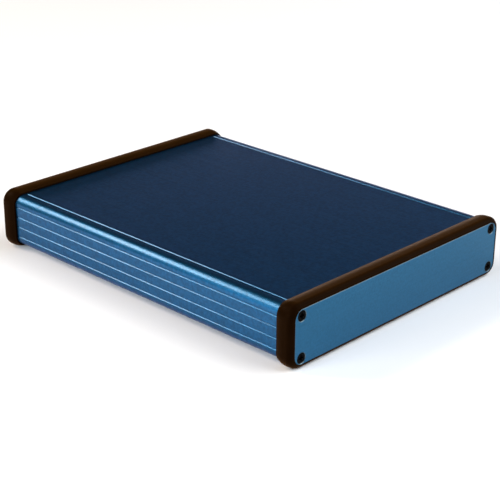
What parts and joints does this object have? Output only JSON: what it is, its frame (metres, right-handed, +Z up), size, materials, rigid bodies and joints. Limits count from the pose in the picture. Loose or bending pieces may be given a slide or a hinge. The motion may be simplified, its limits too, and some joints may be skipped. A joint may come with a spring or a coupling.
{
  "type": "extruded aluminium enclosure",
  "caption": "Flat extruded aluminium enclosure with grooved sides, a slide-in bottom cover and plastic end bezels that hold flat screwed end panels.",
  "frame": {"origin": "on the table, under the middle of the enclosure", "axes": "+Z up, +Y along the extrusion from the front panel to the rear panel, +X across it"},
  "size_m": [0.1646, 0.2198, 0.0336],
  "materials": {
    "anodised_body": "matt dark blue anodised extrusion",
    "anodised_panel": "fine-grained lighter blue anodised sheet",
    "bezel_plastic": "satin brown-black moulding",
    "black_steel": "black oxide"
  },
  "bodies": {
    "root": {"housing": "anodised_body", "bottom_cover": "anodised_body", "front_bezel": "bezel_plastic", "rear_bezel": "bezel_plastic", "front_panel": "anodised_panel", "rear_panel": "anodised_panel", "front_panel_screws": "black_steel", "rear_panel_screws": "black_steel"}
  },
  "joints": []
}
